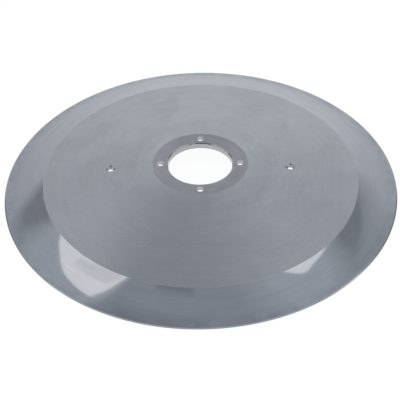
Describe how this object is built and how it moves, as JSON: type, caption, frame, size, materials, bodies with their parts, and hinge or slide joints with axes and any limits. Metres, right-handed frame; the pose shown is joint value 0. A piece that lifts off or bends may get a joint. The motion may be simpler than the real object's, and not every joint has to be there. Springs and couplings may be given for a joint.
{
  "type": "food slicer blade",
  "caption": "Round slicer blade: bored hub with countersunk screw holes, shallow domed web and a hollow-ground cutting ring with a narrow sharpening bevel.",
  "frame": {"origin": "centre of the cutting edge's plane, on the spindle axis", "axes": "+Z along the spindle axis towards the convex side and the hub seat; +X through one puller hole and one hub screw; the concave side faces down and the blade lies on its cutting edge"},
  "size_m": [0.35, 0.35, 0.022],
  "materials": {
    "blade_steel": "hardened steel: satin turned web, bright ground cutting ring"
  },
  "bodies": {
    "root": {"blade": "blade_steel"}
  },
  "joints": []
}
